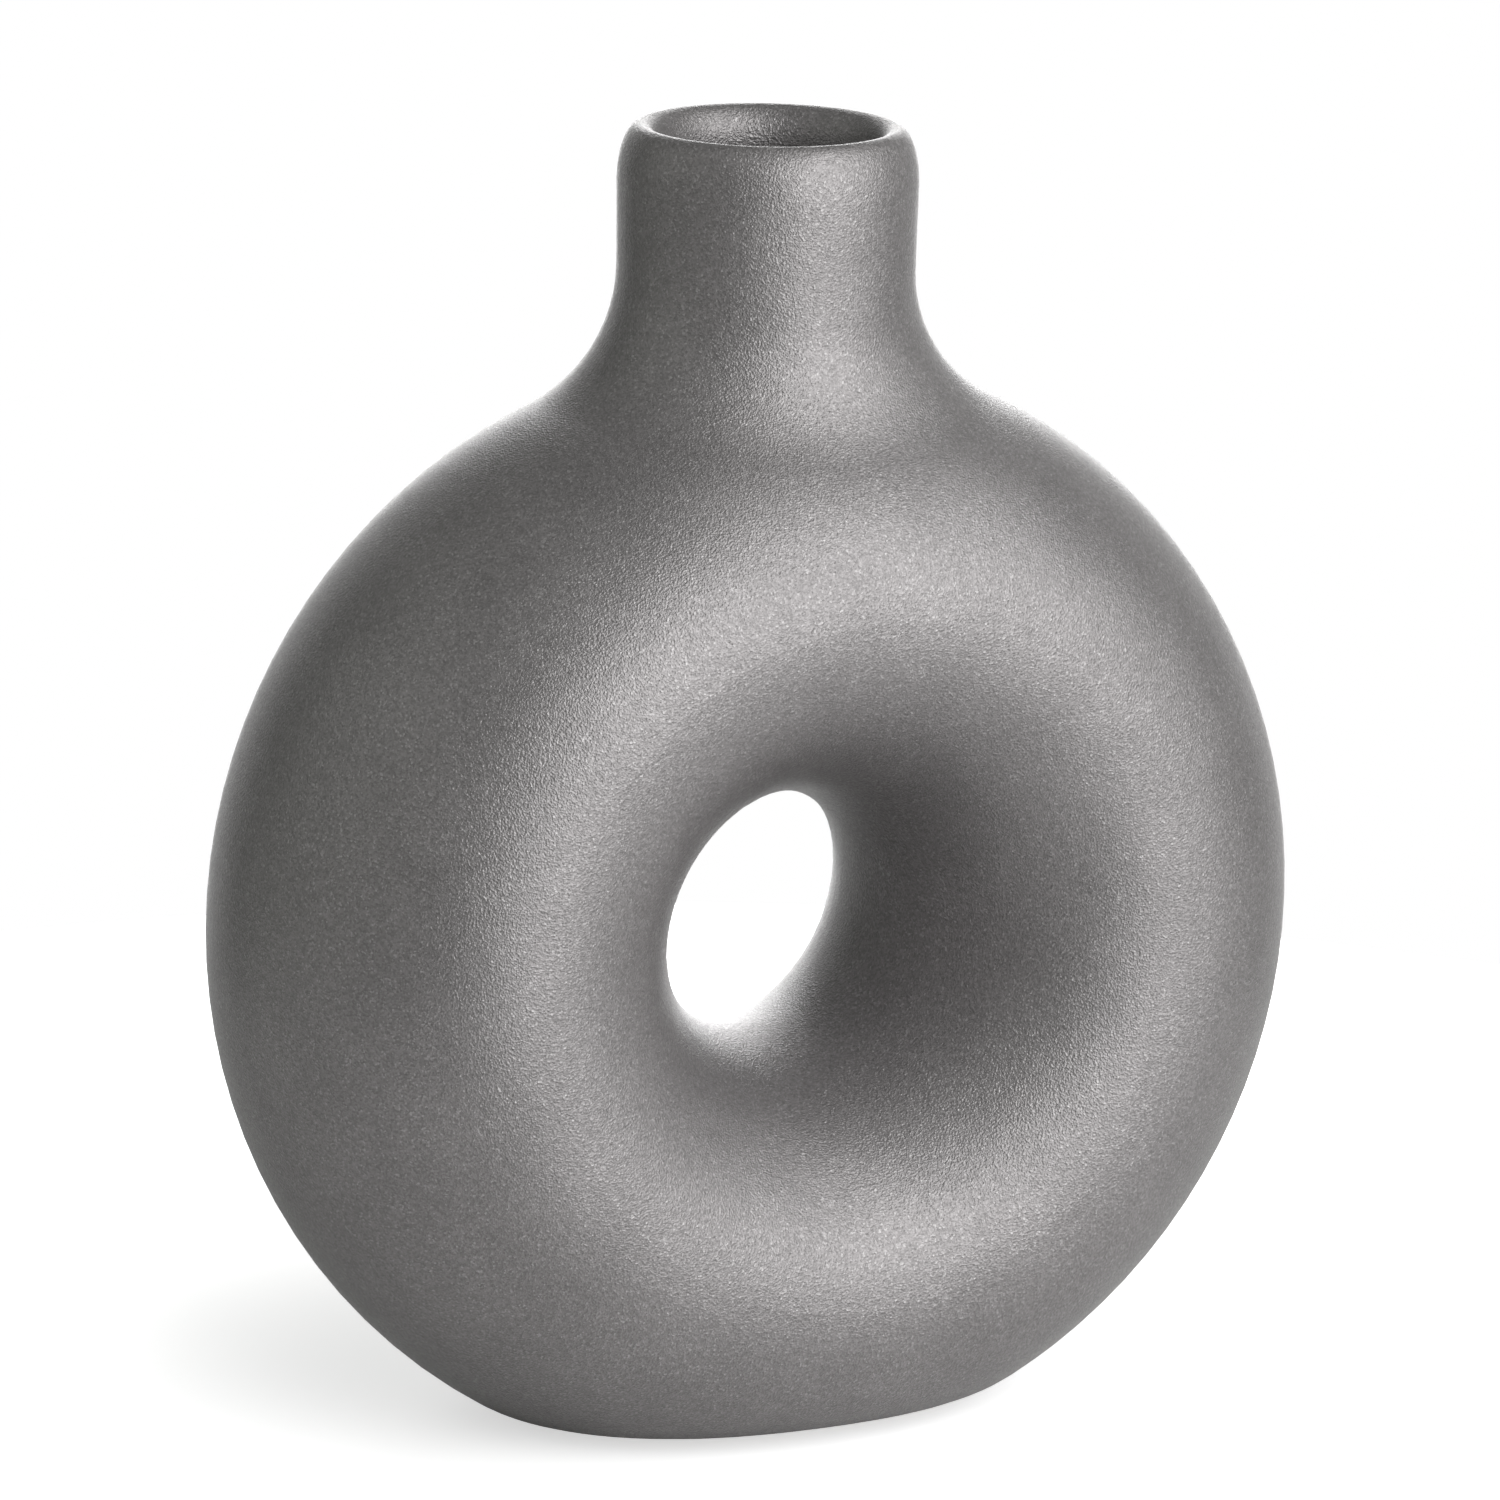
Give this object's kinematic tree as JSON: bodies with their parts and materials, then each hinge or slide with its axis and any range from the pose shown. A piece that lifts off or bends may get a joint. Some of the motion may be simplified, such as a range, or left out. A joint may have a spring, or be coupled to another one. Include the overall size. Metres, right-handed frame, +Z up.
{
  "type": "donut vase",
  "caption": "Ring-shaped stoneware vase standing on edge on a flat foot, with a round hole through its middle and a short round neck on top; hollow inside.",
  "frame": {"origin": "on the table, under the middle of the foot (undersides of the felt discs)", "axes": "+Z up along the neck; +Y along the ring's hole, towards the back; +X to the right seen from the front"},
  "size_m": [0.183, 0.089, 0.21],
  "materials": {
    "body_glaze": "matt dark warm grey glaze with a satin metallic sheen and a fine sandy grain",
    "felt": "dark grey pressed felt"
  },
  "bodies": {
    "root": {"vase_body": "body_glaze", "foot_pad_front_left": "felt", "foot_pad_front_right": "felt", "foot_pad_back_left": "felt", "foot_pad_back_right": "felt"}
  },
  "joints": []
}
